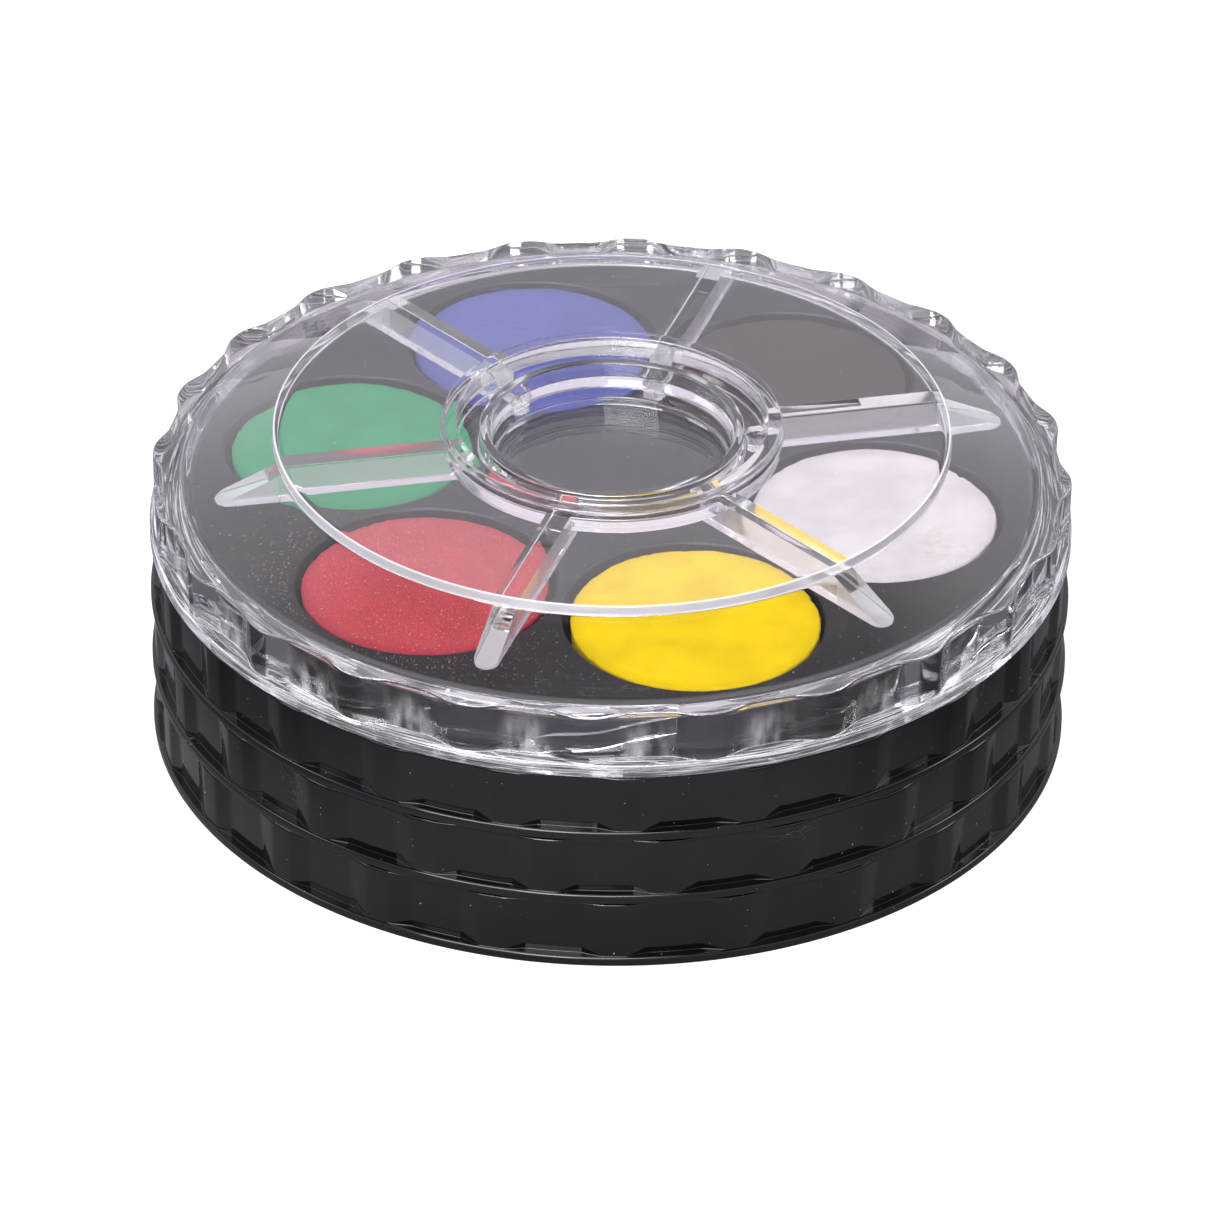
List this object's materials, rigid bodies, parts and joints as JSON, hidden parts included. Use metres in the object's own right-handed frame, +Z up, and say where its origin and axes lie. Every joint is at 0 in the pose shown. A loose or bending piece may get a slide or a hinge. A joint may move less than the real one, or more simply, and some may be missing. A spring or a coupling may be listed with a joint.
{
  "type": "watercolor pan set",
  "caption": "Round stack of black screw-together discs that hold paint tablets, under a clear fluted lid that turns over as a mixing palette.",
  "frame": {"origin": "centre of the stack's foot, on the surface that it stands on", "axes": "+Z up along the stack's axis; -Y is the side that faces the viewer in the reference view"},
  "size_m": [0.115, 0.115, 0.0426],
  "materials": {
    "clear_plastic": "clear, polished, lightly scratched",
    "black_plastic": "gloss moulded",
    "paint_ochre": "matt pressed cake",
    "paint_umber": "matt pressed cake",
    "paint_sienna": "matt pressed cake",
    "paint_olive": "matt pressed cake",
    "paint_navy": "matt pressed cake",
    "paint_grey": "matt pressed cake",
    "paint_orange": "matt pressed cake",
    "paint_lemon": "matt pressed cake",
    "paint_turquoise": "matt pressed cake",
    "paint_violet": "matt pressed cake",
    "paint_magenta": "matt pressed cake",
    "paint_grass": "matt pressed cake",
    "paint_yellow": "matt pressed cake",
    "paint_white": "matt pressed cake",
    "paint_black": "matt pressed cake",
    "paint_blue": "matt pressed cake",
    "paint_green": "matt pressed cake",
    "paint_red": "matt pressed cake"
  },
  "bodies": {
    "bottom_disc": {"disc_3": "black_plastic", "tablet_ochre": "paint_ochre", "tablet_umber": "paint_umber", "tablet_sienna": "paint_sienna", "tablet_olive": "paint_olive", "tablet_navy": "paint_navy", "tablet_grey": "paint_grey"},
    "middle_disc": {"disc_2": "black_plastic", "tablet_orange": "paint_orange", "tablet_lemon": "paint_lemon", "tablet_turquoise": "paint_turquoise", "tablet_violet": "paint_violet", "tablet_magenta": "paint_magenta", "tablet_grass": "paint_grass"},
    "top_disc": {"disc_1": "black_plastic", "tablet_yellow": "paint_yellow", "tablet_white": "paint_white", "tablet_black": "paint_black", "tablet_blue": "paint_blue", "tablet_green": "paint_green", "tablet_red": "paint_red"},
    "lid": {"lid": "clear_plastic"}
  },
  "joints": [
    {"name": "middle_disc_lift", "type": "slide", "parent": "bottom_disc", "child": "middle_disc", "axis": [0, 0, 1], "range_m": [0, 0.025]},
    {"name": "top_disc_lift", "type": "slide", "parent": "middle_disc", "child": "top_disc", "axis": [0, 0, 1], "range_m": [0, 0.025]},
    {"name": "lid_lift", "type": "slide", "parent": "top_disc", "child": "lid", "axis": [0, 0, 1], "range_m": [0, 0.04]}
  ]
}
